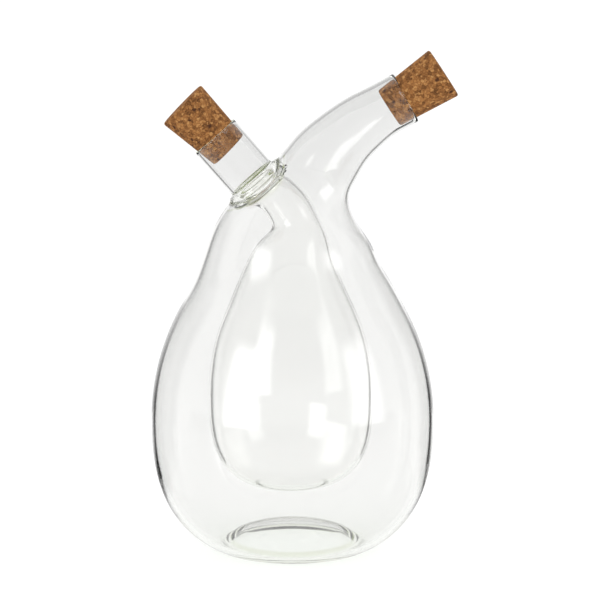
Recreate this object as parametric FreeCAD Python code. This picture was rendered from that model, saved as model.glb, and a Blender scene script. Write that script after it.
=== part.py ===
import FreeCAD, Part
import math
import os

# A cruet that pours two liquids: a pear-shaped blown vessel with a curved spout, and a second
# blown bulb inside it, whose neck leaves through the shoulder and is sealed there. Two corks.
# Millimetres. Z is up from the table, X runs from the neck towards the spout, Y = 0 halves it.

# Outer vessel, from the table to the shoulder
belly_r = 45.0  # widest outside radius
belly_z = 43.5  # height of the widest place
heel_r = 22.8  # outside radius where the heel meets the table
heel_power = 2.6  # roundness of the heel: 2 is an ellipse, more is squarer
shoulder_z = 78.0  # height where the round body starts to turn into the spout
shoulder_r = 35.8  # outside radius there
shoulder_power = 1.87  # roundness of the body above the belly
belly_wall = 1.5  # wall at the widest place
heel_round = 2.0  # rounding from the heel to the ring that stands on the table

# Base of the outer vessel: a ring on the table, and a hollow pushed up inside it
ring_r = 21.0  # inside radius of the ring
ring_round = 0.8  # rounding from the ring to the cone
punt_r = 17.0  # radius where the cone meets the dome
punt_z = 4.2  # height there
punt_rise = 3.6  # height of the dome above that
punt_round = 10.0  # rounding from the cone to the dome
base_wall = 1.8  # glass over the ring
punt_wall = 1.1  # glass over the dome, drawn thin as it was pushed up
punt_spread = 0.9  # how much wider the cone's top is inside
valley_inset = 0.2  # how far the lowest place inside lies in from the heel
valley_round = 3.0  # rounding of that lowest place

# Outer vessel, the spout: a curve from the shoulder to the mouth, and how fast it narrows
spout_x = 35.9  # middle of the mouth
spout_z = 145.3
spout_angle = 28.5  # the mouth faces this far above level
spout_rise = 12.8  # handle of the curve above the shoulder
spout_pull = 39.5  # handle of the curve behind the straight tube
spout_straight = 7.0  # straight tube behind the mouth, which holds the cork
# extra radius left at each station, from the shoulder to the tube
spout_taper = (1.0, 0.83, 0.694, 0.577, 0.366, 0.172, 0.117, 0.066, 0.03, 0.0)
spout_wall = 1.2
spout_lip = 1.25  # wall at the mouth
spout_lip_round = 0.55

# Both mouths have one bore, so that the two corks are the same
bore_r = 7.25

# Neck of the inner vessel, where it leaves the body
neck_root_z = 104.8  # the neck's axis leaves the body's axis at this height
neck_angle = 49.0  # the neck faces this far above level, away from the spout
neck_length = 18.7  # from the shoulder's surface to the mouth
neck_wall = 0.85
neck_inside = 3.6  # straight tube below the shoulder's surface
neck_lip_round = 0.4

# Ring seal: the bead where the neck is melted into the shoulder
seal_width = 2.4  # how far the bead stands out round the neck
seal_height = 0.5  # above the shoulder's surface
seal_depth = 4.4  # below it, where it backs the wall
seal_round = 1.9
seal_blend = 0.8  # rounding from the bead to the shoulder

# Bulb of the inner vessel
bulb_x = -0.5  # the bulb hangs a little off the middle
bulb_r = 26.1
bulb_z = 50.0  # height of its widest place
bulb_bottom_z = 20.0
bulb_heel_power = 2.85
bulb_shoulder_z = 78.0  # height where its shoulder starts to bend to the neck
bulb_shoulder_r = 20.2
bulb_power = 2.0
bulb_wall = 1.0
bulb_floor = 1.0

# The bend from the bulb to the neck
# place from the neck's root, lean to the neck's side in degrees, how much wider than the bore
bend_stations = (
    (-0.8, -16.8, 0.0, 8.6),
    (-0.5, -9.8, 0.0, 5.6),
    (0.3, -3.8, 6.0, 2.9),
    (0.6, 0.5, 16.0, 0.4),
    (-0.9, 4.5, 30.0, -0.2),
    (-4.0, 8.6, 42.0, -0.6),
    (-6.6, 10.4, 42.0, -0.4),
)

# Corks, two alike, sized to the bore
cork_length = 20.5
cork_over = 1.25  # how much wider than the bore the top is, on the radius
cork_under = 0.65  # how much narrower the inner end is
cork_edge = 0.35  # chamfer of both ends
cork_play = 0.06  # gap at the lip, on the radius
cork_end_play = 0.12  # gap at the inner end, on the side that the cork leans to

outline_points = 14  # points that carry each pear outline
past = 1.0  # how far a tool that opens a mouth reaches past it
same_place = 0.01  # edges are told apart by sizes and places this close
on_bead = 0.05  # the same, for the wavy edge round the bead

seat_r = bore_r - cork_play
cork_top_r = bore_r + cork_over
cork_end_r = bore_r - cork_under
cork_out = cork_length * (cork_top_r - seat_r) / (cork_top_r - cork_end_r)
cork_in = cork_length - cork_out
cork_lean = math.degrees(math.asin((cork_under - cork_end_play) / cork_in))
upright = FreeCAD.Vector(0, 0, 1)


def vec(x, z, y=0.0):
    return FreeCAD.Vector(x, y, z)


def heading(angle):
    """Unit vector in the middle plane, so many degrees above level."""
    return vec(math.cos(math.radians(angle)), math.sin(math.radians(angle)))


def reach(radius, drop, wide_r, power):
    """Half height of a pear outline that has this radius at this distance from its widest place."""
    return drop / (1.0 - (radius / wide_r) ** power) ** (1.0 / power)


def pear_r(distance, wide_r, half_height, power):
    share = min(abs(distance) / half_height, 1.0)
    return wide_r * (1.0 - share**power) ** (1.0 / power)


def curve_through(points, start=None, end=None):
    curve = Part.BSplineCurve()
    if start is None:
        curve.interpolate(points)
    else:
        curve.interpolate(Points=points, InitialTangent=start, FinalTangent=end)
    return curve.toShape()


def turned(edges, x=0.0):
    """Faces turned from an outline in the middle plane about the upright line at x."""
    return Part.Wire(edges).revolve(vec(x, 0), upright, 360).Faces


def closed(faces):
    """Solid from faces that meet at their rims."""
    shell = Part.makeShell(faces)
    shell.sewShape()
    solid = Part.makeSolid(shell)
    if solid.Volume < 0:
        solid.reverse()
    return solid


def ring_poles(x, z, lean, radius):
    """Nine poles of a circle round a point of the middle plane, its axis leaning towards +X."""
    across = heading(-lean)
    corners = ((1, 0), (1, 1), (0, 1), (-1, 1), (-1, 0), (-1, -1), (0, -1), (1, -1), (1, 0))
    middle = vec(x, z)
    return [middle + across * (radius * a) + vec(0, 0, radius * b) for a, b in corners]


def blown(rings, start, end):
    """Smooth skin through the rings, its wall leaving and ending in given directions."""
    middles = [vec(x, z) for x, z, lean, radius in rings]
    along = [0.0]
    for a, b in zip(middles, middles[1:]):
        along.append(along[-1] + (b - a).Length)
    columns = []
    for points in zip(*[ring_poles(*r) for r in rings]):
        curve = Part.BSplineCurve()
        curve.interpolate(
            Points=list(points), Parameters=along, InitialTangent=start, FinalTangent=end
        )
        columns.append(curve)
    half_way = math.sqrt(0.5)
    weights = [1.0 if i % 2 == 0 else half_way for i in range(9)]
    surface = Part.BSplineSurface()
    surface.buildFromPolesMultsKnots(
        [c.getPoles() for c in columns],
        [3, 2, 2, 2, 3],
        columns[0].getMultiplicities(),
        [0.0, 0.25, 0.5, 0.75, 1.0],
        columns[0].getKnots(),
        False,
        False,
        2,
        columns[0].Degree,
        [[w] * columns[0].NbPoles for w in weights],
    )
    return surface.toShape()


def tube_end(start, angle, radius, length):
    """Side and end disc of a straight tube, its seam in line with that of a blown skin."""
    tube = Part.makeCylinder(radius, length)
    turn = FreeCAD.Rotation(FreeCAD.Vector(0, 1, 0), 90.0 - angle)
    tube.Placement = FreeCAD.Placement(start, turn)
    return [f for f in tube.Faces if (f.CenterOfMass - start).Length > 0.1 * length]


def rod(start, direction, radius, length):
    return Part.makeCylinder(radius, length, start, direction)


def rounded(solid, radius, wanted):
    """Rounds the edges that the test picks."""
    return solid.makeFillet(radius, [e for e in solid.Edges if wanted(e)])


def is_circle(edge, radius, middle):
    if edge.Degenerated:
        return False
    curve = edge.Curve
    return (
        isinstance(curve, Part.Circle)
        and abs(curve.Radius - radius) < same_place
        and (curve.Center - middle).Length < same_place
    )


def heel_outline(wide_r, wide_z, low_r, low_z, power):
    """Curve from the lowest ring of a pear body up to its widest place, and its top tangent upright."""
    half = reach(low_r, wide_z - low_z, wide_r, power)
    low_angle = math.asin(min((wide_z - low_z) / half, 1.0))
    points = []
    for i in range(outline_points):
        drop = half * math.sin(low_angle * (1.0 - i / (outline_points - 1.0)))
        points.append(vec(pear_r(drop, wide_r, half, power), wide_z - drop))
    return curve_through(points)


def dish(rim_r, rim_z, rise):
    """Arc from the axis down to a rim, level on the axis."""
    curve_r = (rim_r**2 + rise**2) / (2.0 * rise)
    half = 0.5 * math.asin(rim_r / curve_r)
    middle = vec(curve_r * math.sin(half), rim_z + rise - curve_r * (1.0 - math.cos(half)))
    return Part.Arc(vec(0, rim_z + rise), middle, vec(rim_r, rim_z)).toShape()


def line(a, b):
    return Part.LineSegment(a, b).toShape()


def tube_start():
    return vec(spout_x, spout_z) - heading(spout_angle) * spout_straight


def spout_curve():
    """Middle line of the spout, from the shoulder to the straight tube at the mouth."""
    tube = tube_start()
    curve = Part.BezierCurve()
    curve.setPoles(
        [
            vec(0, shoulder_z),
            vec(0, shoulder_z + spout_rise),
            tube - heading(spout_angle) * spout_pull,
            tube,
        ]
    )
    return curve


def body_rings(wall_low, wall_high, wall_tube):
    """Rings from the widest place to the spout's tube, with the wall taken off on the way."""
    rings = []
    half = reach(shoulder_r, shoulder_z - belly_z, belly_r, shoulder_power)
    for share in (0.0, 0.25, 0.5, 0.75):
        z = belly_z + share * (shoulder_z - belly_z)
        wall = wall_low + share * (wall_high - wall_low)
        radius = pear_r(z - belly_z, belly_r, half, shoulder_power)
        rings.append((0.0, z, 0.0, radius - wall))
    curve = spout_curve()
    tube_r = bore_r + spout_lip
    last = len(spout_taper) - 1
    for i in range(last):
        along = curve.parameterAtDistance(curve.length() * i / last)
        place = curve.value(along)
        aim = curve.tangent(along)[0]
        lean = math.degrees(math.atan2(aim.x, aim.z))
        radius = tube_r + spout_taper[i] * (shoulder_r - tube_r) - wall_high
        rings.append((place.x, place.z, lean, radius))
    tube = tube_start()
    rings.append((tube.x, tube.z, 90.0 - spout_angle, tube_r - wall_tube))
    return rings


def outer_skin():
    """The outer vessel as a full body, standing on a ring with a hollow pushed up inside it."""
    heel = heel_outline(belly_r, belly_z, heel_r, 0.0, heel_power)
    base = [
        dish(punt_r, punt_z, punt_rise),
        line(vec(punt_r, punt_z), vec(ring_r, 0)),
        line(vec(ring_r, 0), vec(heel_r, 0)),
        heel,
    ]
    sides = blown(body_rings(0.0, 0.0, 0.0), upright, heading(spout_angle))
    tube = tube_end(tube_start(), spout_angle, bore_r + spout_lip, spout_straight)
    body = closed(turned(base) + [sides] + tube)
    body = rounded(body, heel_round, lambda e: is_circle(e, heel_r, vec(0, 0)))
    body = rounded(body, ring_round, lambda e: is_circle(e, ring_r, vec(0, 0)))
    return rounded(body, punt_round, lambda e: is_circle(e, punt_r, vec(0, punt_z)))


def outer_hollow():
    """The room inside the outer vessel, open at the spout's mouth."""
    wide_r = belly_r - belly_wall
    top_r = punt_r + punt_spread
    top_z = punt_z + punt_wall
    valley_r = heel_r - valley_inset
    floor = [
        dish(top_r, top_z, punt_rise),
        line(vec(top_r, top_z), vec(valley_r, base_wall)),
        heel_outline(wide_r, belly_z, valley_r, base_wall, heel_power),
    ]
    rings = body_rings(belly_wall, spout_wall, spout_lip)
    sides = blown(rings, upright, heading(spout_angle))
    bore = tube_end(tube_start(), spout_angle, bore_r, spout_straight + past)
    room = closed(turned(floor) + [sides] + bore)
    room = rounded(room, valley_round, lambda e: is_circle(e, valley_r, vec(0, base_wall)))
    return rounded(room, punt_round, lambda e: is_circle(e, top_r, vec(0, top_z)))


def seal_place(skin):
    """Where the neck's axis leaves the outer vessel's surface."""
    out = heading(180.0 - neck_angle)
    root = vec(0, neck_root_z)
    inside = line(root, root + out * (belly_r + shoulder_z)).common(skin)
    ends = sorted(inside.Vertexes, key=lambda v: (v.Point - root).Length)
    return ends[-1].Point


def seal_bead(seal, out):
    """Thick ring of glass round the neck, a little of it above the shoulder's surface."""
    outside = bore_r + neck_wall + seal_width
    bead = rod(seal - out * seal_depth, out, outside, seal_depth + seal_height)
    top = seal + out * seal_height
    bottom = seal - out * seal_depth
    bead = rounded(bead, seal_round, lambda e: is_circle(e, outside, top))
    return rounded(bead, seal_round, lambda e: is_circle(e, outside, bottom))


def meets_bead(edge, seal, out):
    """True for an edge where the shoulder runs into the bead."""
    if edge.Degenerated or not isinstance(edge.Curve, Part.BSplineCurve):
        return False
    middle = edge.valueAt(0.5 * (edge.FirstParameter + edge.LastParameter)) - seal
    off_axis = (middle - out * middle.dot(out)).Length
    return off_axis < bore_r + neck_wall + seal_width + on_bead


def outer_vessel(skin, seal, out):
    bead = seal_bead(seal, out)
    body = skin.fuse(bead)
    body = rounded(body, seal_blend, lambda e: meets_bead(e, seal, out))
    shell = body.cut(outer_hollow().cut(bead))
    shell = shell.cut(rod(seal - out * belly_r, out, bore_r + neck_wall, 2.0 * belly_r))
    mouth = vec(spout_x, spout_z)
    shell = rounded(shell, spout_lip_round, lambda e: is_circle(e, bore_r + spout_lip, mouth))
    return rounded(shell, spout_lip_round, lambda e: is_circle(e, bore_r, mouth))


def bulb_rings(wall, tube_wall, seal, out):
    """Rings of the inner vessel from the bulb's widest place round the bend to the straight neck."""
    rings = []
    half = reach(bulb_shoulder_r, bulb_shoulder_z - bulb_z, bulb_r, bulb_power)
    for share in (0.0, 0.34, 0.67, 1.0):
        z = bulb_z + share * (bulb_shoulder_z - bulb_z)
        radius = pear_r(z - bulb_z, bulb_r, half, bulb_power)
        rings.append((bulb_x, z, 0.0, radius - wall))
    for dx, dz, lean, extra in bend_stations:
        rings.append((dx, neck_root_z + dz, -lean, bore_r + extra - tube_wall))
    low = seal - out * neck_inside
    rings.append((low.x, low.z, neck_angle - 90.0, bore_r + neck_wall - tube_wall))
    return rings


def bulb_body(radius, bottom_z, wall, tube_wall, seal, out, length):
    """The inner vessel's bulb, bend and neck as a full body."""
    half = bulb_z - bottom_z
    points = []
    for i in range(outline_points):
        turn = 0.5 * math.pi * i / (outline_points - 1.0)
        drop = half * math.cos(turn)
        points.append(vec(bulb_x + pear_r(drop, radius, half, bulb_heel_power), bulb_z - drop))
    heel = curve_through(points, FreeCAD.Vector(1, 0, 0), upright)
    sides = blown(bulb_rings(wall, tube_wall, seal, out), upright, out)
    start = seal - out * neck_inside
    neck = tube_end(start, 180.0 - neck_angle, bore_r + neck_wall - tube_wall, length)
    return closed(turned([heel], bulb_x) + [sides] + neck)


def inner_vessel(seal, out):
    tube_r = bore_r + neck_wall
    mouth = seal + out * neck_length
    straight = neck_inside + neck_length
    skin = bulb_body(bulb_r, bulb_bottom_z, 0.0, 0.0, seal, out, straight)
    room_r = bulb_r - bulb_wall
    room_z = bulb_bottom_z + bulb_floor
    room = bulb_body(room_r, room_z, bulb_wall, neck_wall, seal, out, straight + past)
    vessel = skin.cut(room)
    vessel = rounded(vessel, neck_lip_round, lambda e: is_circle(e, tube_r, mouth))
    return rounded(vessel, neck_lip_round, lambda e: is_circle(e, bore_r, mouth))


def cork(mouth, angle):
    """A tapered cork that leans in its mouth until its inner end is close to the bore."""
    out = heading(angle)
    shape = Part.makeCone(
        cork_end_r, cork_top_r, cork_length, mouth - out * cork_in, out
    )
    ends = [e for e in shape.Edges if isinstance(e.Curve, Part.Circle)]
    return shape.makeChamfer(cork_edge, ends)


def save(shape, name):
    solid = shape.Solids[0]
    print(name, "solids", len(shape.Solids), "valid", shape.isValid(), "volume", round(solid.Volume))
    solid.exportStep("parts/" + name + ".step")


def build():
    os.makedirs("parts", exist_ok=True)
    skin = outer_skin()
    neck_out = heading(180.0 - neck_angle)
    seal = seal_place(skin)
    print("seal at", [round(c, 2) for c in seal])
    save(outer_vessel(skin, seal, neck_out), "outer_vessel")
    save(inner_vessel(seal, neck_out), "inner_vessel")
    neck_mouth = seal + neck_out * neck_length
    save(cork(neck_mouth, 180.0 - neck_angle + cork_lean), "neck_cork")
    save(cork(vec(spout_x, spout_z), spout_angle + cork_lean), "spout_cork")


build()
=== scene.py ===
import math

import bmesh
import bpy
import numpy as np
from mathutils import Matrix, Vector


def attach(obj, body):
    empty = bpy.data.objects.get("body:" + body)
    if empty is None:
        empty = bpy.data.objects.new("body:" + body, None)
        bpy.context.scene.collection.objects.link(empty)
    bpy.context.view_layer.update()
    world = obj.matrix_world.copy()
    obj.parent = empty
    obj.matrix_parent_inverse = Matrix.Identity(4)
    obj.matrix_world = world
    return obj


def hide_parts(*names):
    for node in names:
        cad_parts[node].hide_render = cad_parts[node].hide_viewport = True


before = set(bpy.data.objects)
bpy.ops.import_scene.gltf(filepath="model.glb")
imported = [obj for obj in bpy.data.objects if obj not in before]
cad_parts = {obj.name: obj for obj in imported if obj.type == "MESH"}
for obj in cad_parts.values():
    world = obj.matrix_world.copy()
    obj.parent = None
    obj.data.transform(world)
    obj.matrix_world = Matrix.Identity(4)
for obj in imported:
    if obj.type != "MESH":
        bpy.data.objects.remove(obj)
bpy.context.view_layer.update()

# The glass is one closed mesh: both vessels, melted together at the ring seal.
# All sizes are in millimetres and become metres when a mesh is made.
mm = 0.001

camera = {
    "distance": 1150.0,
    "elevation": 9.0,
    "aimX": 4.31,  # the picture's middle looks at this point
    "aimZ": 78.7,
    "lens": 212.8,  # on a 36 mm sensor
}

outerVessel = {
    "bellyR": 45.0, "bellyZ": 43.5,  # the widest place
    "heelR": 22.8, "heelPower": 2.6, "heelRound": 2.0,  # a higher power is a squarer outline
    "shoulderZ": 78.0, "shoulderR": 35.8, "shoulderPower": 1.87,
    "bellyWall": 1.5, "baseWall": 1.8,
    # the base is pushed up: a ring on the table, then a cone with a shallow dome on top
    "ringR": 21.0, "ringRound": 0.8, "puntR": 17.0, "puntZ": 4.2, "puntRise": 3.6, "puntRound": 10.0,
    "puntWall": 1.1, "puntSpread": 0.9, "valleyInset": 0.2, "valleyRound": 3.0,  # the same inside
    "underR": 20.5, "underZ": 9.5,  # faces inside this radius and height belong to the underside, which gets the glass painted lighter
    "around": 160,  # faces round the body
    "step": 0.9,  # distance between rings
    "heelStep": 0.4,  # the same for the heel's outline before it is rounded
}

spout = {
    "x": 35.9, "z": 145.3, "angle": 28.5, "straight": 7.0,  # the mouth and the tube behind it
    "rise": 12.8, "pull": 39.5,  # how far the middle line keeps its way from the shoulder and from the tube
    "taper": (1.0, 0.83, 0.694, 0.577, 0.366, 0.172, 0.117, 0.066, 0.03, 0.0),  # from shoulder to tube
    "wall": 1.2, "lip": 1.25,
}

boreR = 7.25

neck = {
    "rootZ": 104.8, "angle": 49.0, "length": 18.7, "wall": 0.85,
    "inside": 3.6, "boreEnd": 2.4,  # the bulb's last ring and the bore's, below the seal
}

seal = {
    "width": 2.4, "height": 0.5, "depth": 4.4, "round": 1.9,
    "soft": 0.5,  # how far the bead melts into the wall
    "fall": 14.0,  # how steeply the bead ends, height for width
    "fillet": 0.7, "collar": 0.6,  # up the neck
    "under": 0.55,  # the bulb's outside ends this far below the bead
    "patchR": 14.0, "patchDepth": 25.0,  # the mesh round the seal is laid in rings out to here
    "around": 96,
}

bulb = {
    "x": -0.5, "z": 50.0, "r": 26.1,  # the widest place
    "bottomZ": 20.0, "heelPower": 2.85, "shoulderZ": 78.0, "shoulderR": 20.2, "power": 2.0,
    "wall": 1.0, "floor": 1.0,
    # place from the neck's root, lean, radius beyond the bore
    "bend": (
        (-0.8, -16.8, 0.0, 8.6), (-0.5, -9.8, 0.0, 5.6), (0.3, -3.8, 6.0, 2.9),
        (0.6, 0.5, 16.0, 0.4), (-0.9, 4.5, 30.0, -0.2), (-4.0, 8.6, 42.0, -0.6),
        (-6.6, 10.4, 42.0, -0.4),
    ),
    "around": 112,
    "step": 1.2,
}

corkShape = {
    "length": 20.5, "over": 1.25, "under": 0.65, "edge": 0.35,  # over and under the bore's radius
    "play": 0.06, "endPlay": 0.12,
    "around": 96, "step": 0.5,
}

# Cards round the table, as a photographer sets them: only the glass sees them.
# azimuth is counted from the camera's side, positive to its right, and turn is how far it reaches round.
# light 0 is black; where a card has a fade, it runs from light to top between those two heights.
# foot is how near a card reaches on the table, soft how much of its width and height fades out.
# Some cards are seen only through the solid edge of a wall, others only as a reflection.
cards = (
    {"name": "blackRight", "azimuth": 141.5, "turn": 15.0, "distance": 132.0, "high": 125.0, "foot": 80.0,
     "light": 0.0, "top": 0.4, "fade": (32.0, 62.0), "soft": 0.12, "seen": "throughEdges"},
    {"name": "blackLeft", "azimuth": -137.0, "turn": 19.0, "distance": 100.0, "high": 125.0, "foot": 66.0,
     "light": 0.0, "top": 0.4, "fade": (32.0, 62.0), "soft": 0.12, "seen": "throughEdges"},
    {"name": "lowLeft", "azimuth": -141.5, "turn": 5.0, "distance": 100.0, "high": 16.0, "foot": 76.0,
     "light": 0.0, "soft": 0.3, "seen": "throughEdges"},
    {"name": "greyRight", "azimuth": 130.0, "turn": 44.0, "distance": 190.0, "high": 220.0, "foot": 55.0,
     "light": 0.1, "soft": 0.3, "seen": "mirrored"},
    {"name": "greyLeft", "azimuth": -122.0, "turn": 60.0, "distance": 190.0, "high": 220.0, "foot": 55.0,
     "light": 0.0, "soft": 0.3, "seen": "mirrored"},
    {"name": "boxLeft", "azimuth": -42.0, "turn": 38.0, "distance": 700.0, "high": 560.0,
     "light": 5.0, "soft": 0.3, "seen": "always"},
    {"name": "boxRight", "azimuth": 63.0, "turn": 40.0, "distance": 700.0, "high": 560.0,
     "light": 3.0, "soft": 0.3, "seen": "always"},
)

studio = {
    # what the glass mirrors in front of it: a bright horizon and a dim ceiling
    "horizon": 0.5, "ceiling": 0.1, "horizonTop": 14.0, "ceilingFrom": 28.0,  # heights in degrees
    "roomFront": -0.3,  # the way along Y from which the room counts as in front
    # and a table that dims from near to far, in metres
    "tableNear": 0.13, "tableFar": 0.34, "tableMirrored": 0.08, "tableFront": (-0.08, 0.02),
    "tableSize": 6.0,
    "tableGlow": 0.09,  # lifts the table to pure white outside the shadow
    # the room seen through the solid edge of a wall: dimmer from the horizon up to this way along Z
    "edges": 0.55, "edgesTop": 0.25,
    "bounces": 32,
}

glassLook = {
    "ior": 1.47,
    "tint": (0.83, 0.86, 0.7),  # slightly green, as cheap clear glass is at its edges
    "depth": 14.0,  # how strong the tint is
    # what one wall lets through at each height in metres, as painted shade: the glass is tinted greyer by
    # height, the spout and neck greyest, standing in for the grey the lighting gives them
    "clear": ((0.0, (0.945, 0.945, 0.942)), (0.02, (0.94, 0.94, 0.936)), (0.05, (0.93, 0.93, 0.926)),
              (0.112, (0.93, 0.93, 0.926)), (0.121, (0.892, 0.892, 0.889)), (0.16, (0.888, 0.888, 0.885))),
    "clearBulbPaintedLighter": (0.998, 0.998, 0.996),  # the same for the bulb, the bead and the base: painted light, a near-clear tint standing in for the brighter light on them
    "shadow": (0.985, 0.99, 0.985),  # what the glass lets through to the table and the corks
}

corkLook = {
    "grain": 1000.0,  # granules per metre
    "fine": 3200.0,  # the grain inside them
    "wobble": 1400.0, "wobbleBy": 0.7,  # how often and by how many millimetres their outlines bend
    "tones": ((0.0, (0.11, 0.044, 0.012)), (0.3, (0.26, 0.106, 0.03)),
              (0.7, (0.43, 0.186, 0.055)), (1.0, (0.62, 0.33, 0.12))),
    "seam": 0.4, "seamWidth": 0.14, "seamTint": (0.3, 0.2, 0.12),  # between granules
    "pits": 420.0, "pitSize": 0.2, "pitShare": 0.35,  # per metre, radius in cells, share of cells
    # pitTone and pitDark darken the pits: partly the cork's own dark pits, partly painted shade inside the
    # hollows
    "pitEdge": 0.1, "pitTone": (0.06, 0.02, 0.01), "pitDark": 0.85,
    "relief": 0.25,  # in millimetres
    "rough": 0.9,
}


def heading(angle):
    return np.array([math.cos(math.radians(angle)), math.sin(math.radians(angle))])


def hermite(at, values, slopes, wanted):
    # cubic pieces through the values with the given slopes
    i = np.clip(np.searchsorted(at, wanted, side="right") - 1, 0, len(at) - 2)
    h = (at[i + 1] - at[i])[:, None]
    t = (wanted - at[i])[:, None] / h
    return (
        (2 * t**3 - 3 * t**2 + 1) * values[i] + (t**3 - 2 * t**2 + t) * h * slopes[i]
        + (3 * t**2 - 2 * t**3) * values[i + 1] + (t**3 - t**2) * h * slopes[i + 1]
    )


def smoothThrough(at, values, firstSlope, lastSlope, wanted):
    # cubic spline with even curvature, its ends leaving in the given directions
    n = len(at)
    gaps = np.diff(at)
    matrix = np.eye(n)
    right = np.zeros_like(values)
    right[0], right[-1] = firstSlope, lastSlope
    for i in range(1, n - 1):
        a, b = 1 / gaps[i - 1], 1 / gaps[i]
        matrix[i, i - 1], matrix[i, i], matrix[i, i + 1] = a, 2 * (a + b), b
        right[i] = 3 * (a * a * (values[i] - values[i - 1]) + b * b * (values[i + 1] - values[i]))
    return hermite(at, values, np.linalg.solve(matrix, right), wanted)


def sweepRings(rings, firstWay, lastWay, step):
    # rings (x, z, lean, radius) become dense rows: middle x, z, across x, z and radius
    rows = []
    for x, z, lean, radius in rings:
        turn = math.radians(lean)
        rows.append((x, z, radius * math.cos(turn), -radius * math.sin(turn), radius))
    rows = np.array(rows)
    gaps = np.hypot(*np.diff(rows[:, :2], axis=0).T)
    at = np.concatenate([[0.0], np.cumsum(gaps)])
    count = int(round(at[-1] / step)) + 1
    first = np.array([*firstWay, 0.0, 0.0, 0.0])
    last = np.array([*lastWay, 0.0, 0.0, 0.0])
    return smoothThrough(at, rows, first, last, np.linspace(0.0, at[-1], count))


def tubeRings(start, way, radius, lengths):
    across = np.array([way[1], -way[0]]) * radius
    return np.array([[*(start + way * s), *across, radius] for s in lengths])


def turnedRings(points, x=0.0):
    # an outline (radius, height) as rings round an upright line
    return np.array([[x, z, r, 0.0, r] for r, z in points])


def lipTurns():
    # half a circle from the outside of a mouth to its bore, without its ends
    return np.linspace(0.0, math.pi, 7)[1:-1]


def lipRings(mouth, way, outsideR, insideR):
    middle, half = 0.5 * (outsideR + insideR), 0.5 * (outsideR - insideR)
    rows = []
    for turn in lipTurns():
        out = half * (math.sin(turn) - 1.0)
        rows.append(tubeRings(mouth, way, middle + half * math.cos(turn), [out])[0])
    return np.array(rows)


def ellipseR(away, wideR, half, power):
    return wideR * (1.0 - np.minimum(np.abs(away) / half, 1.0) ** power) ** (1.0 / power)


def halfHeight(radius, away, wideR, power):
    return away / (1.0 - (radius / wideR) ** power) ** (1.0 / power)


def heelOutline(wideR, wideZ, lowR, lowZ, power, step):
    half = halfHeight(lowR, wideZ - lowZ, wideR, power)
    low = math.asin(min((wideZ - lowZ) / half, 1.0))
    drops = half * np.sin(np.linspace(low, 0.0, 200))
    return evenly(np.stack([ellipseR(drops, wideR, half, power), wideZ - drops], axis=1), step)


def evenly(points, step):
    # the same outline with its points an even step apart
    gaps = np.hypot(*np.diff(points, axis=0).T)
    at = np.concatenate([[0.0], np.cumsum(gaps)])
    wanted = np.linspace(0.0, at[-1], max(int(round(at[-1] / step)), 2) + 1)
    return np.stack([np.interp(wanted, at, points[:, k]) for k in (0, 1)], axis=1)


def roundCorner(before, corner, after, radius, count=9):
    # points of an arc-like curve that replaces a corner
    a, b = before - corner, after - corner
    a, b = a / np.hypot(*a), b / np.hypot(*b)
    half = 0.5 * math.acos(np.clip(a @ b, -1, 1))
    back = radius / math.tan(half)
    p, q = corner + a * back, corner + b * back
    t = np.linspace(0, 1, count)[:, None]
    return (1 - t) ** 2 * p + 2 * (1 - t) * t * corner + t**2 * q, back


def baseOutline(rise, corners, heel, step):
    # from the axis out over a shallow dome, round each (radius, height, rounding), then up the heel
    rimR, rimZ = corners[0][:2]
    curveR = (rimR**2 + rise**2) / (2 * rise)
    turn = np.linspace(0.0, math.asin(rimR / curveR), 40)
    outline = np.stack([curveR * np.sin(turn), rimZ + rise - curveR * (1 - np.cos(turn))], axis=1)
    before = outline[-4]
    for k, (r, z, radius) in enumerate(corners):
        corner = np.array([r, z])
        after = np.array(corners[k + 1][:2]) if k + 1 < len(corners) else heel[8]
        arc, back = roundCorner(before, corner, after, radius)
        outline = np.concatenate([outline[np.hypot(*(outline - corner).T) > back * 1.02], arc])
        before = corner
    away = np.hypot(*(heel - corner).T)
    heel = heel[away > back * 1.02]
    whole = evenly(np.concatenate([outline, heel]), step)
    whole[0, 0] = 0.0
    return whole


def bodyRings(wallLow, wallHigh, wallTube):
    v, s = outerVessel, spout
    rings = []
    half = halfHeight(v["shoulderR"], v["shoulderZ"] - v["bellyZ"], v["bellyR"], v["shoulderPower"])
    for share in (0.0, 0.25, 0.5, 0.75):
        away = share * (v["shoulderZ"] - v["bellyZ"])
        wall = wallLow + share * (wallHigh - wallLow)
        radius = ellipseR(away, v["bellyR"], half, v["shoulderPower"])
        rings.append((0.0, v["bellyZ"] + away, 0.0, radius - wall))
    way = heading(s["angle"])
    tube = np.array([s["x"], s["z"]]) - way * s["straight"]
    handles = np.array([(0, v["shoulderZ"]), (0, v["shoulderZ"] + s["rise"]), tube - way * s["pull"], tube])
    t = np.linspace(0, 1, 2001)[:, None]
    curve = ((1 - t) ** 3 * handles[0] + 3 * (1 - t) ** 2 * t * handles[1]
             + 3 * (1 - t) * t**2 * handles[2] + t**3 * handles[3])
    at = np.concatenate([[0.0], np.cumsum(np.hypot(*np.diff(curve, axis=0).T))])
    tubeR = boreR + s["lip"]
    last = len(s["taper"]) - 1
    for i, extra in enumerate(s["taper"][:-1]):
        where = np.interp(at[-1] * i / last, at, np.arange(len(at)))
        x, z = [np.interp(where, np.arange(len(at)), curve[:, k]) for k in (0, 1)]
        k = min(int(where), len(curve) - 2)
        aim = curve[k + 1] - curve[k]
        lean = math.degrees(math.atan2(aim[0], aim[1]))
        rings.append((x, z, lean, tubeR + extra * (v["shoulderR"] - tubeR) - wallHigh))
    rings.append((tube[0], tube[1], 90.0 - s["angle"], tubeR - wallTube))
    return rings


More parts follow.
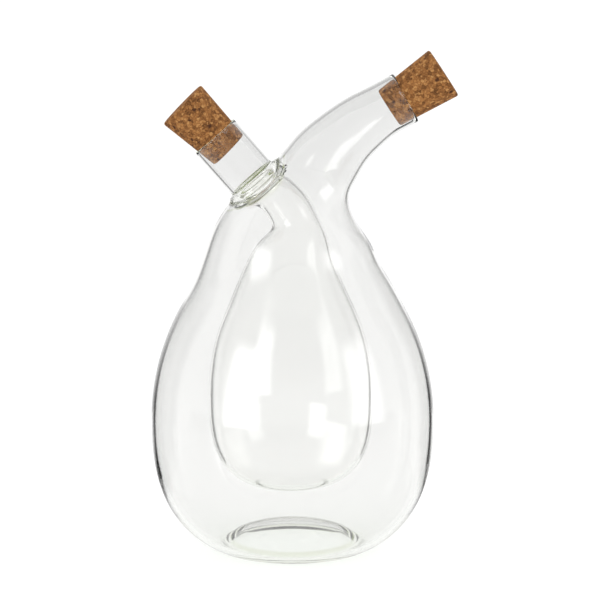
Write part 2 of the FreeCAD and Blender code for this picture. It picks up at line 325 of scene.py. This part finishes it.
def bulbRings(wall, tubeWall, seat):
    b = bulb
    rings = []
    half = halfHeight(b["shoulderR"], b["shoulderZ"] - b["z"], b["r"], b["power"])
    for share in (0.0, 0.34, 0.67, 1.0):
        away = share * (b["shoulderZ"] - b["z"])
        rings.append((b["x"], b["z"] + away, 0.0, ellipseR(away, b["r"], half, b["power"]) - wall))
    for dx, dz, lean, extra in b["bend"]:
        rings.append((dx, neck["rootZ"] + dz, -lean, boreR + extra - tubeWall))
    low = seat.base - seat.out * neck["inside"]
    rings.append((low[0], low[1], neck["angle"] - 90.0, boreR + neck["wall"] - tubeWall))
    return rings


def ringPoints(rows, angles):
    # grid of points: one row of points per ring
    c, s = np.cos(angles)[None, :], np.sin(angles)[None, :]
    x = rows[:, 0:1] + rows[:, 2:3] * c
    z = rows[:, 1:2] + rows[:, 3:4] * c
    return np.stack([x, rows[:, 4:5] * s, z], axis=2)


class NeckFrame:
    # round the neck's axis: out runs along it, sideways across it towards the spout
    def __init__(self, base, out):
        self.base, self.out = base, out
        self.sideways = np.array([out[1], -out[0]])

    def points(self, radius, turns, height):
        # the points at each radius, turn and height
        r, a, h = np.broadcast_arrays(radius, turns, height)
        x, z = [self.base[k] + self.sideways[k] * r * np.cos(a) + self.out[k] * h for k in (0, 1)]
        return np.stack([x, r * np.sin(a), z], axis=-1)

    def polar(self, points):
        # radius, turn and height of each point
        x, z = points[..., 0] - self.base[0], points[..., 2] - self.base[1]
        across = x * self.sideways[0] + z * self.sideways[1]
        along = x * self.out[0] + z * self.out[1]
        return np.hypot(across, points[..., 1]), np.arctan2(points[..., 1], across), along

    def skinHeight(self, rows, radius, turns, low=-14.0, high=9.0):
        # height at which each place meets a swept skin, found by halving
        r, a = np.broadcast_arrays(radius, turns)
        x0, z0 = [self.base[k] + self.sideways[k] * r * np.cos(a) for k in (0, 1)]
        y0 = r * np.sin(a)
        normalX = -rows[:, 3] / rows[:, 4]
        normalZ = rows[:, 2] / rows[:, 4]
        lo, hi = np.full(r.shape, low), np.full(r.shape, high)
        for _ in range(34):
            h = 0.5 * (lo + hi)
            x, z = x0 + self.out[0] * h, z0 + self.out[1] * h
            ahead = (x[..., None] - rows[:, 0]) * normalX + (z[..., None] - rows[:, 1]) * normalZ
            k = np.clip((ahead > 0).sum(axis=-1) - 1, 0, len(rows) - 2)
            g0 = np.take_along_axis(ahead, k[..., None], -1)[..., 0]
            g1 = np.take_along_axis(ahead, k[..., None] + 1, -1)[..., 0]
            t = np.clip(g0 / np.where(np.abs(g0 - g1) < 1e-9, 1e-9, g0 - g1), 0, 1)
            row = rows[k] * (1 - t)[..., None] + rows[k + 1] * t[..., None]
            size = row[..., 4]
            across = ((x - row[..., 0]) * row[..., 2] + (z - row[..., 1]) * row[..., 3]) / size
            inside = np.hypot(across, y0) < size
            lo, hi = np.where(inside, h, lo), np.where(inside, hi, h)
        return 0.5 * (lo + hi)


class RingMesh:
    # collects points and faces, and closes them into one mesh
    def __init__(self):
        self.points, self.faces = [], []
        self.light = []  # stretches of faces that get the glass painted lighter

    def add(self, grid):
        first = len(self.points)
        flat = np.asarray(grid).reshape(-1, 3)
        self.points.extend(map(tuple, flat))
        return np.arange(first, first + len(flat)).reshape(np.asarray(grid).shape[:-1])

    def skin(self, grid, keep=None):
        # quads between neighbouring rings
        nextOne = np.roll(grid, -1, axis=1)
        quads = np.stack([grid[:-1], nextOne[:-1], nextOne[1:], grid[1:]], axis=-1).reshape(-1, 4)
        if keep is not None:
            quads = quads[keep(quads)]
        self.faces.extend(map(tuple, quads.tolist()))
        return quads

    def cap(self, ring, point):
        middle = len(self.points)
        self.points.append(tuple(point))
        for a, b in zip(ring, np.roll(ring, -1)):
            self.faces.append((int(a), int(b), middle))

    def paintLighter(self, first):
        # the faces since this one get the glass painted lighter
        self.light.append((first, len(self.faces)))

    def stitch(self, loopA, anglesA, loopB, anglesB):
        # triangles between two loops round the same axis, both sorted by angle
        a, b = list(loopA), list(loopB)
        anglesA, anglesB = list(anglesA), list(anglesB)
        i = j = 0
        while i < len(a) or j < len(b):
            nextA = anglesA[(i + 1) % len(a)] + 2 * math.pi * ((i + 1) // len(a))
            nextB = anglesB[(j + 1) % len(b)] + 2 * math.pi * ((j + 1) // len(b))
            if j >= len(b) or (i < len(a) and nextA <= nextB):
                self.faces.append((int(a[i % len(a)]), int(a[(i + 1) % len(a)]), int(b[j % len(b)])))
                i += 1
            else:
                self.faces.append((int(a[i % len(a)]), int(b[(j + 1) % len(b)]), int(b[j % len(b)])))
                j += 1


def openRound(mesh, grid, seat, swept):
    # leaves out a skin's faces round the neck, and moves the rim of that hole onto a true circle
    points = np.array(mesh.points)

    def keep(quads):
        r, _, along = seat.polar(points[quads])
        return ~((r < seal["patchR"]).any(axis=1) & (along > -seal["patchDepth"]).all(axis=1))

    quads = mesh.skin(grid, keep)
    edges = {(a, b) for q in quads.tolist() for a, b in zip(q, q[1:] + q[:1])}
    rim = {corner for a, b in edges if (b, a) not in edges for corner in (a, b)}
    ends = set(grid[0].tolist()) | set(grid[-1].tolist())
    rim = np.array(sorted(rim - ends))
    turns = seat.polar(points[rim])[1]
    order = np.argsort(turns)
    rim, turns = rim[order], turns[order]
    height = seat.skinHeight(swept, seal["patchR"], turns)
    for index, point in zip(rim, seat.points(seal["patchR"], turns, height)):
        mesh.points[index] = tuple(point)
    return rim, turns


def softMax(a, b, width):
    return 0.5 * (a + b + np.sqrt((a - b) ** 2 + width**2))


def beadTop(r, top):
    # height of the bead's upper surface at this distance from the neck's axis
    s = seal
    outside = boreR + neck["wall"] + s["width"]
    inset = np.clip(r - (outside - s["round"]), 0.0, s["round"] - 1e-6)
    height = top - (s["round"] - np.sqrt(s["round"] ** 2 - inset**2))
    return np.where(r > outside, height - (r - outside) * s["fall"], height)


def bodySkins():
    # outside and inside of the outer vessel: all rows, the swept ones, and the height on the axis
    v, s = outerVessel, spout
    way = heading(s["angle"])
    mouth = np.array([s["x"], s["z"]])
    tube = mouth - way * s["straight"]
    tubeR = boreR + s["lip"]
    lengths = np.linspace(0, s["straight"] - 0.5 * s["lip"], 6)[1:]

    heel = heelOutline(v["bellyR"], v["bellyZ"], v["heelR"], 0.0, v["heelPower"], v["heelStep"])
    corners = (
        (v["puntR"], v["puntZ"], v["puntRound"]),
        (v["ringR"], 0.0, v["ringRound"]),
        (v["heelR"], 0.0, v["heelRound"]),
    )
    base = baseOutline(v["puntRise"], corners, heel, v["step"])
    swept = sweepRings(bodyRings(0.0, 0.0, 0.0), (0, 1), way, v["step"])
    straight = tubeRings(tube, way, tubeR, lengths)
    lip = lipRings(mouth, way, tubeR, boreR)
    outside = np.concatenate([turnedRings(base[1:-1]), swept, straight, lip])

    wideR = v["bellyR"] - v["bellyWall"]
    valleyR = v["heelR"] - v["valleyInset"]
    heel = heelOutline(wideR, v["bellyZ"], valleyR, v["baseWall"], v["heelPower"], v["heelStep"])
    corners = (
        (v["puntR"] + v["puntSpread"], v["puntZ"] + v["puntWall"], v["puntRound"]),
        (valleyR, v["baseWall"], v["valleyRound"]),
    )
    floor = baseOutline(v["puntRise"], corners, heel, v["step"])
    sweptIn = sweepRings(bodyRings(v["bellyWall"], s["wall"], s["lip"]), (0, 1), way, v["step"])
    bore = tubeRings(tube, way, boreR, lengths)
    inside = np.concatenate([turnedRings(floor[1:-1]), sweptIn, bore])
    return (outside, swept, base[0, 1]), (inside, sweptIn, floor[0, 1])


def bulbSkin(radius, bottomZ, wall, tubeWall, seat):
    b = bulb
    half = b["z"] - bottomZ
    drops = half * np.cos(np.linspace(0, 0.5 * math.pi, 300))
    outline = np.stack([ellipseR(drops, radius, half, b["heelPower"]), b["z"] - drops], axis=1)
    low = turnedRings(evenly(outline, b["step"])[1:-1], b["x"])
    high = sweepRings(bulbRings(wall, tubeWall, seat), (0, 1), seat.out, b["step"])
    if wall == 0.0:
        # the outside stops under the bead
        along = (high[:, :2] - seat.base) @ seat.out
        high = high[along < -seal["depth"] - seal["under"]]
    return np.concatenate([low, high])


def sealTop(seat, swept, turns):
    # from outside: the wall, the bead melted onto it and a small fillet up the neck
    neckR = boreR + neck["wall"]
    outside = neckR + seal["width"]
    radii = np.concatenate([
        np.linspace(seal["patchR"] - 1.0, outside + 0.4, 5),
        np.linspace(outside + 0.2, outside - 0.4, 6),
        np.linspace(outside - 0.7, neckR + 0.5, 5),
        neckR + 0.6 * (1 - np.sin(np.linspace(0.4, 1.35, 6))),
    ])[:, None]
    size = seal["fillet"]
    fillet = size - np.sqrt(np.clip(size**2 - (size - np.minimum(radii - neckR, size)) ** 2, 0, None))
    wallTop = seat.skinHeight(swept, radii, turns)
    return radii, softMax(wallTop, beadTop(radii, seal["height"]), seal["soft"]) + fillet


def sealUnder(seat, swept, turns):
    # from inside: the wall, then the bead's underside down to the neck
    neckR = boreR + neck["wall"]
    outside = neckR + seal["width"]
    radii = np.concatenate([
        np.linspace(seal["patchR"] - 1.0, outside + 0.6, 5),
        np.linspace(outside + 0.35, outside - 0.3, 12),
        np.linspace(outside - 0.6, neckR + 0.15, 6),
    ])[:, None]
    wallUnder = seat.skinHeight(swept, radii, turns)
    return radii, -softMax(-wallUnder, beadTop(radii, seal["depth"]), seal["soft"])


def glassVessels():
    b = bulb
    mesh = RingMesh()
    (outside, swept, underZ), (inside, sweptIn, floorZ) = bodySkins()

    # the seal is where the neck's axis leaves the outer skin
    out = heading(180.0 - neck["angle"])
    root = NeckFrame(np.array([0.0, neck["rootZ"]]), out)
    rise = root.skinHeight(swept, np.zeros(1), np.zeros(1), 0.0, 60.0)[0]
    seat = NeckFrame(root.base + out * rise, out)
    print("seal at", seat.base.round(2))

    around = np.linspace(0, 2 * math.pi, outerVessel["around"], endpoint=False)
    outerGrid = mesh.add(ringPoints(outside, around))
    innerGrid = mesh.add(ringPoints(inside, around))
    mesh.cap(outerGrid[0], (0, 0, underZ))
    mesh.cap(innerGrid[0], (0, 0, floorZ))
    mesh.skin(np.stack([outerGrid[-1], innerGrid[-1]]))
    rim, rimTurns = openRound(mesh, outerGrid, seat, swept)
    rimIn, rimInTurns = openRound(mesh, innerGrid, seat, sweptIn)

    turns = np.linspace(-math.pi, math.pi, seal["around"], endpoint=False)
    radii, top = sealTop(seat, swept, turns)
    patchGrid = mesh.add(seat.points(radii, turns, top))
    mesh.stitch(rim, rimTurns, patchGrid[0], turns)
    first = len(mesh.faces)
    mesh.skin(patchGrid)
    mesh.paintLighter(first)

    # the neck: its outside from the bead up, its lip and its bore
    neckR, half = boreR + neck["wall"], 0.5 * neck["wall"]
    collarTop = top[-1].max() + seal["collar"]
    share = np.linspace(0.25, 1.0, 4)[:, None]
    collarGrid = mesh.add(seat.points(neckR, turns, top[-1] + share * (collarTop - top[-1])))
    mesh.skin(np.concatenate([patchGrid[-1:], collarGrid]))
    lipR = boreR + half * (1.0 + np.cos(lipTurns()))[:, None]
    lipTop = neck["length"] - half * (1.0 - np.sin(lipTurns()))[:, None]
    tubeHeights = np.linspace(collarTop, neck["length"] - half, 14)[1:, None]
    boreHeights = np.linspace(neck["length"] - half, -neck["boreEnd"], 18)[:, None]
    tubeGrid = mesh.add(seat.points(neckR, turns, tubeHeights))
    lipGrid = mesh.add(seat.points(lipR, turns, lipTop))
    boreGrid = mesh.add(seat.points(boreR, turns, boreHeights))
    mesh.skin(np.concatenate([collarGrid[-1:], tubeGrid, lipGrid, boreGrid]))

    skins = (
        bulbSkin(b["r"] - b["wall"], b["bottomZ"] + b["floor"], b["wall"], neck["wall"], seat),
        bulbSkin(b["r"], b["bottomZ"], 0.0, 0.0, seat),
    )
    angles = np.linspace(0, 2 * math.pi, b["around"], endpoint=False)
    loops = []
    first = len(mesh.faces)
    for rows in skins:
        grid = mesh.add(ringPoints(rows, angles))
        mesh.skin(grid)
        mesh.cap(grid[0], (b["x"], 0, rows[0, 1] - 0.02))
        loops.append(grid[-1])
    mesh.paintLighter(first)

    # the bulb's inside meets the bore, and its outside the bead's underside
    bulbTurns = np.mod(angles + math.pi, 2 * math.pi) - math.pi
    order = np.argsort(bulbTurns)
    mesh.stitch(boreGrid[-1], turns, loops[0][order], bulbTurns[order])
    radii, under = sealUnder(seat, sweptIn, turns)
    underGrid = mesh.add(seat.points(radii, turns, under))
    mesh.stitch(rimIn, rimInTurns, underGrid[0], turns)
    first = len(mesh.faces)
    mesh.skin(underGrid)
    mesh.paintLighter(first)
    mesh.stitch(underGrid[-1], turns, loops[1][order], bulbTurns[order])
    return mesh, seat.base + out * neck["length"]


def makeObject(name, mesh, material):
    data = bpy.data.meshes.new(name)
    points = [tuple(c * mm for c in p) for p in mesh.points]
    data.from_pydata(points, [], mesh.faces)
    whole = bmesh.new()
    whole.from_mesh(data)
    bmesh.ops.delete(whole, geom=[v for v in whole.verts if not v.link_faces], context="VERTS")
    bmesh.ops.recalc_face_normals(whole, faces=whole.faces)
    openEdges = sum(1 for e in whole.edges if len(e.link_faces) != 2)
    volume = round(whole.calc_volume() / mm**3)
    print(name, "faces", len(whole.faces), "open edges", openEdges, "volume", volume)
    whole.to_mesh(data)
    whole.free()
    data.polygons.foreach_set("use_smooth", [True] * len(data.polygons))
    obj = bpy.data.objects.new(name, data)
    bpy.context.scene.collection.objects.link(obj)
    data.materials.append(material)
    return obj


class Graph:
    # short names for the shader nodes of one material or of the world
    def __init__(self, tree):
        self.tree = tree
        tree.nodes.clear()

    def put(self, socket, value):
        if value is None:
            return
        if isinstance(value, bpy.types.NodeSocket):
            self.tree.links.new(value, socket)
        elif isinstance(value, tuple) and len(value) == 3 and len(socket.default_value) == 4:
            socket.default_value = (*value, 1.0)
        else:
            socket.default_value = value

    def node(self, kind, inputs=(), **settings):
        node = self.tree.nodes.new("ShaderNode" + kind)
        for key, value in settings.items():
            setattr(node, key, value)
        for key, value in dict(inputs).items():
            self.put(node.inputs[key], value)
        return node

    def math(self, operation, a, b=None):
        node = self.node("Math", operation=operation)
        self.put(node.inputs[0], a)
        self.put(node.inputs[1], b)
        return node.outputs[0]

    def between(self, value, low, high, fromLow=0.0, fromHigh=1.0):
        inputs = {"Value": value, "From Min": fromLow, "From Max": fromHigh, "To Min": low, "To Max": high}
        return self.node("MapRange", inputs).outputs["Result"]

    def ramp(self, value, stops):
        node = self.node("ValToRGB", {"Fac": value})
        while len(node.color_ramp.elements) < len(stops):
            node.color_ramp.elements.new(0.5)
        for element, (at, color) in zip(node.color_ramp.elements, stops):
            element.position, element.color = at, (*color, 1.0)
        return node.outputs["Color"]

    def mixed(self, how, amount, a, b):
        node = self.node("Mix", data_type="RGBA", blend_type=how)
        for socket, value in ((node.inputs["Factor"], amount), (node.inputs[6], a), (node.inputs[7], b)):
            self.put(socket, value)
        return node.outputs[2]

    def mirrored(self):
        # 1 for rays that a surface mirrored last, 0 for those that came out of the glass
        path = self.node("LightPath").outputs
        outside = self.math("SUBTRACT", 1.0, path["Is Transmission Ray"])
        return self.math("MULTIPLY", path["Is Glossy Ray"], outside)

    def throughEdge(self):
        # 1 for rays that went in and out of one wall, as at an edge, and not of a front and a back wall
        path = self.node("LightPath").outputs
        left = self.math("SUBTRACT", self.math("MODULO", path["Transmission Depth"], 4.0), 2.0)
        once = self.math("LESS_THAN", self.math("ABSOLUTE", left), 0.5)
        return self.math("MULTIPLY", once, path["Is Transmission Ray"])

    def finish(self, surface, volume=None, kind="OutputMaterial"):
        self.node(kind, {"Surface": surface, **({"Volume": volume} if volume else {})})


def newMaterial(name):
    material = bpy.data.materials.new(name)
    material.use_nodes = True
    return material, Graph(material.node_tree)


def glassMaterial(name, clear=None):
    look = glassLook
    material, g = newMaterial(name)
    # painted shade: unless a tint is given, the glass greys with height along this ramp
    if clear is None:
        high = look["clear"][-1][0]
        height = g.node("SeparateXYZ", {"Vector": g.node("TexCoord").outputs["Object"]}).outputs["Z"]
        clear = g.ramp(g.math("DIVIDE", height, high), [(at / high, color) for at, color in look["clear"]])
    inputs = {"Base Color": clear, "Roughness": 0.0, "IOR": look["ior"], "Transmission Weight": 1.0}
    glass = g.node("BsdfPrincipled", inputs).outputs[0]
    # light for the table and the corks goes straight through
    straight = g.node("BsdfTransparent", {"Color": look["shadow"]}).outputs[0]
    path = g.node("LightPath").outputs
    easy = g.math("MAXIMUM", path["Is Shadow Ray"], path["Is Diffuse Ray"])
    mix = g.node("MixShader", {"Fac": easy})
    g.put(mix.inputs[1], glass)
    g.put(mix.inputs[2], straight)
    absorb = g.node("VolumeAbsorption", {"Color": look["tint"], "Density": look["depth"]}).outputs[0]
    g.finish(mix.outputs[0], absorb)
    return material


def corkMaterial():
    look = corkLook
    material, g = newMaterial("pressedCork")
    place = g.node("TexCoord").outputs["Object"]
    chance = g.node("ObjectInfo").outputs["Random"]
    shift = g.node("CombineXYZ", {"X": chance, "Y": chance}).outputs[0]
    place = g.node("VectorMath", {0: place, 1: shift}, operation="ADD").outputs[0]
    wobble = g.node("TexNoise", {"Vector": place, "Scale": look["wobble"], "Detail": 2.0}).outputs["Color"]
    wobble = g.node("VectorMath", {0: wobble, "Scale": look["wobbleBy"] * mm}, operation="SCALE").outputs[0]
    place = g.node("VectorMath", {0: place, 1: wobble}, operation="ADD").outputs[0]
    cells = {"Vector": place, "Scale": look["grain"]}
    pick = g.node("SeparateColor", {"Color": g.node("TexVoronoi", cells).outputs["Color"]}).outputs[0]
    edge = g.node("TexVoronoi", cells, feature="DISTANCE_TO_EDGE").outputs["Distance"]
    edge = g.between(edge, 1.0, 0.0, 0.0, look["seamWidth"])
    fine = g.node("TexNoise", {"Vector": place, "Scale": look["fine"], "Detail": 3.0}).outputs["Fac"]
    tone = g.math("ADD", g.math("MULTIPLY", pick, 0.75), g.between(fine, -0.18, 0.42, 0.25, 0.75))
    color = g.ramp(tone, look["tones"])
    pit = g.node("TexVoronoi", {"Vector": place, "Scale": look["pits"]})
    chosen = g.node("SeparateColor", {"Color": pit.outputs["Color"]}).outputs[1]
    chosen = g.math("LESS_THAN", chosen, look["pitShare"])
    hollow = g.between(pit.outputs["Distance"], 1.0, 0.0, look["pitSize"], look["pitSize"] + look["pitEdge"])
    hollow = g.math("MULTIPLY", hollow, chosen)
    color = g.mixed("MULTIPLY", g.math("MULTIPLY", edge, look["seam"]), color, look["seamTint"])
    # the pits are darkened, partly as their own dark tone and partly as painted shade in the hollows
    color = g.mixed("MIX", g.math("MULTIPLY", hollow, look["pitDark"]), color, look["pitTone"])
    height = g.math("SUBTRACT", g.math("MULTIPLY", fine, 0.5), g.math("MULTIPLY", edge, 0.4))
    height = g.math("SUBTRACT", height, hollow)
    bump = g.node("Bump", {"Height": height, "Distance": look["relief"] * mm, "Strength": 1.0}).outputs[0]
    inputs = {"Base Color": color, "Roughness": look["rough"], "Normal": bump, "Specular IOR Level": 0.2}
    g.finish(g.node("BsdfPrincipled", inputs).outputs[0])
    return material


def corkObject(name, mouth, angle, material):
    c = corkShape
    seatR, topR, endR = boreR - c["play"], boreR + c["over"], boreR - c["under"]
    outLength = c["length"] * (topR - seatR) / (topR - endR)
    inLength = c["length"] - outLength
    lean = math.degrees(math.asin((c["under"] - c["endPlay"]) / inLength))
    way = heading(angle + lean)  # leans until its end nearly touches the bore
    start = mouth - way * inLength
    length, edge, axis = c["length"], c["edge"], 1e-3
    corners = (
        (axis, 0.0), (endR - edge, 0.0), (endR, edge),
        (topR, length - edge), (topR - edge, length), (axis, length),
    )
    outline = evenly(np.array(corners), c["step"])
    rows = np.array([tubeRings(start, way, r, [h])[0] for r, h in outline[1:-1]])
    mesh = RingMesh()
    grid = mesh.add(ringPoints(rows, np.linspace(0, 2 * math.pi, c["around"], endpoint=False)))
    mesh.skin(grid)
    end = start + way * c["length"]
    mesh.cap(grid[0], (start[0], 0, start[1]))
    mesh.cap(grid[-1], (end[0], 0, end[1]))
    return makeObject(name, mesh, material)


def makeWorld():
    world = bpy.data.worlds.new("studio")
    bpy.context.scene.world = world
    world.use_nodes = True
    g = Graph(world.node_tree)
    way = g.node("SeparateXYZ", {"Vector": g.node("TexCoord").outputs["Generated"]}).outputs
    low, high = [math.sin(math.radians(studio[k])) for k in ("horizonTop", "ceilingFrom")]
    dim = g.between(way["Z"], studio["horizon"], studio["ceiling"], low, high)
    front = g.math("MULTIPLY", g.mirrored(), g.between(way["Y"], 1.0, 0.0, studio["roomFront"], 0.0))
    strength = g.math("ADD", 1.0, g.math("MULTIPLY", front, g.math("SUBTRACT", dim, 1.0)))
    edges = g.math("MULTIPLY", g.throughEdge(), g.between(way["Z"], 0.0, 1.0, 0.0, studio["edgesTop"]))
    strength = g.math("MULTIPLY", strength, g.between(edges, 1.0, studio["edges"]))
    room = g.node("Background", {"Color": (1.0, 1.0, 1.0), "Strength": strength}).outputs[0]
    g.finish(room, kind="OutputWorld")


def softEdge(share, soft):
    t = np.clip(np.minimum(share, 1.0 - share) / soft, 0.0, 1.0)
    return t * t * (3.0 - 2.0 * t)


def cardMesh(c):
    # an upright arc, and a foot bent forward on the table where the card has one
    across = np.linspace(0.0, 1.0, 25)
    turns = np.radians(c["azimuth"] + (across - 0.5) * c["turn"])
    up = np.linspace(0.0, 1.0, 15)
    lines = [(c["distance"], v * c["high"], softEdge(max(v, 0.5), c["soft"])) for v in up]
    if "foot" in c:
        reach = c["distance"] - c["foot"]
        near = [(c["foot"] + v * reach, 0.5, softEdge(min(v, 0.5), c["soft"])) for v in up[:-1]]
        lines = near + lines
    points, cover = [], []
    for away, height, seen in lines:
        for share, t in zip(across, turns):
            points.append((math.sin(t) * away * mm, -math.cos(t) * away * mm, height * mm))
            cover.append(float(seen * softEdge(share, c["soft"])))
    n = len(across)
    starts = [row * n + k for row in range(len(lines) - 1) for k in range(n - 1)]
    faces = [(k, k + 1, k + 1 + n, k + n) for k in starts]
    data = bpy.data.meshes.new(c["name"])
    data.from_pydata(points, [], faces)
    data.attributes.new("cover", "FLOAT", "POINT").data.foreach_set("value", cover)
    return data


def makeCards():
    for c in cards:
        material, g = newMaterial(c["name"])
        light = c["light"]
        if "fade" in c:
            place = g.node("NewGeometry").outputs["Position"]
            height = g.node("SeparateXYZ", {"Vector": place}).outputs["Z"]
            light = g.between(height, light, c["top"], c["fade"][0] * mm, c["fade"][1] * mm)
        seen = g.node("Attribute", attribute_name="cover").outputs["Fac"]
        if c["seen"] == "mirrored":
            seen = g.math("MULTIPLY", seen, g.mirrored())
        if c["seen"] == "throughEdges":
            seen = g.math("MULTIPLY", seen, g.throughEdge())
        mix = g.node("MixShader", {"Fac": seen})
        g.put(mix.inputs[1], g.node("BsdfTransparent").outputs[0])
        g.put(mix.inputs[2], g.node("Emission", {"Strength": light}).outputs[0])
        g.finish(mix.outputs[0])
        data = cardMesh(c)
        data.materials.append(material)
        card = bpy.data.objects.new(c["name"], data)
        bpy.context.scene.collection.objects.link(card)
        card.visible_camera = card.visible_diffuse = card.visible_shadow = False


def makeFloor():
    # white table: it takes the shadow, and the glass mirrors it dimmer further off
    material, g = newMaterial("table")
    white = g.node("BsdfDiffuse", {"Color": (1.0, 1.0, 1.0)}).outputs[0]
    glow = g.node("Emission", {"Strength": studio["tableGlow"]}).outputs[0]
    lit = g.node("AddShader")
    g.put(lit.inputs[0], white)
    g.put(lit.inputs[1], glow)
    place = g.node("NewGeometry").outputs["Position"]
    away = g.node("VectorMath", {0: place}, operation="LENGTH").outputs["Value"]
    front = g.node("SeparateXYZ", {"Vector": place}).outputs["Y"]
    front = g.between(front, 1.0, 0.0, *studio["tableFront"])
    dim = g.between(away, 1.0, studio["tableMirrored"], studio["tableNear"], studio["tableFar"])
    dim = g.math("ADD", 1.0, g.math("MULTIPLY", front, g.math("SUBTRACT", dim, 1.0)))
    mirror = g.node("Emission", {"Strength": dim}).outputs[0]
    mix = g.node("MixShader", {"Fac": g.mirrored()})
    g.put(mix.inputs[1], lit.outputs[0])
    g.put(mix.inputs[2], mirror)
    g.finish(mix.outputs[0])
    bpy.ops.mesh.primitive_plane_add(size=studio["tableSize"], location=(0, 0, -0.0001))
    floor = bpy.context.object
    floor.name = "floor"
    floor.data.materials.append(material)


def makeCamera():
    c = camera
    aim = Vector((c["aimX"], 0.0, c["aimZ"])) * mm
    rise = math.radians(c["elevation"])
    data = bpy.data.cameras.new("camera")
    data.sensor_width = 36.0
    data.lens = c["lens"]
    data.clip_start, data.clip_end = 0.05, 20.0
    obj = bpy.data.objects.new("camera", data)
    obj.location = aim + Vector((0.0, -math.cos(rise), math.sin(rise))) * c["distance"] * mm
    obj.rotation_euler = (aim - obj.location).to_track_quat("-Z", "Y").to_euler()
    bpy.context.scene.collection.objects.link(obj)
    bpy.context.scene.camera = obj


makeCamera()
makeWorld()
makeFloor()
makeCards()
cycles = bpy.context.scene.cycles
cycles.max_bounces = cycles.transmission_bounces = cycles.glossy_bounces = studio["bounces"]
print("stage ready")

mesh, neckMouth = glassVessels()
vessels = makeObject("vessels", mesh, glassMaterial("glassShadedByHeight"))
vessels.data.materials.append(glassMaterial("glassPaintedLighter", glassLook["clearBulbPaintedLighter"]))
# painted light: the seal's bead, the bulb and the base's underside get the glass painted lighter, the rest
# the glass painted greyer by height
for face in vessels.data.polygons:
    x, y, z = face.center / mm
    underBody = z < outerVessel["underZ"] and math.hypot(x, y) < outerVessel["underR"]
    face.material_index = int(underBody or any(a <= face.index < b for a, b in mesh.light))
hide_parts("outer_vessel", "inner_vessel")
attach(vessels, "vessel")
print("glass ready")

pressedCork = corkMaterial()
spoutMouth = np.array([spout["x"], spout["z"]])
corks = (
    ("neckCork", "neck_cork", neckMouth, 180.0 - neck["angle"]),
    ("spoutCork", "spout_cork", spoutMouth, spout["angle"]),
)
for name, node, mouth, angle in corks:
    cork = corkObject(name, mouth, angle, pressedCork)
    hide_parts(node)
    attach(cork, node)
print("corks ready")

bpy.context.scene.view_settings.view_transform = "Standard"
